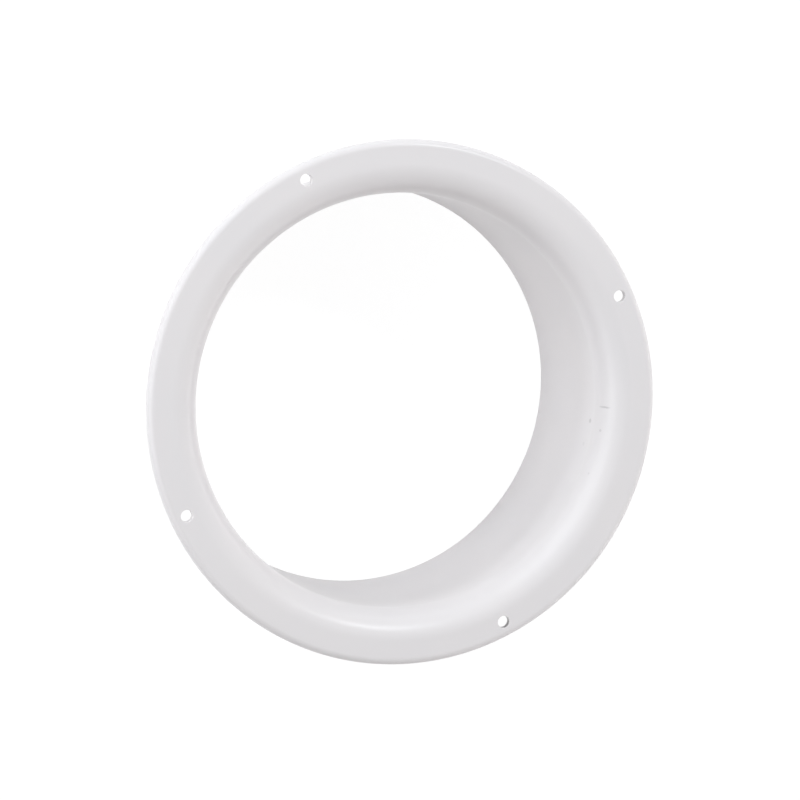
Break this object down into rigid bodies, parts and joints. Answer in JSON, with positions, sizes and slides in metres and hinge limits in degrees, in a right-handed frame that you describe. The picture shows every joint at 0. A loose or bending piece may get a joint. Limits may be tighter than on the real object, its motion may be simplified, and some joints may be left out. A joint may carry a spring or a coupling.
{
  "type": "duct connector sleeve",
  "caption": "Round duct connector in glossy white plastic: a flat wall flange with screw holes turns through a smooth bell mouth into a straight open sleeve.",
  "frame": {"origin": "centre of the sleeve's free end, on which the part stands", "axes": "+Z along the duct's axis, from the free end towards the flange and its bell mouth; the screw holes lie midway between X and Y"},
  "size_m": [0.18, 0.18, 0.068],
  "materials": {
    "white_plastic": "smooth glossy moulded plastic, white with a faint warm grey"
  },
  "bodies": {
    "root": {"connector_sleeve": "white_plastic"}
  },
  "joints": []
}
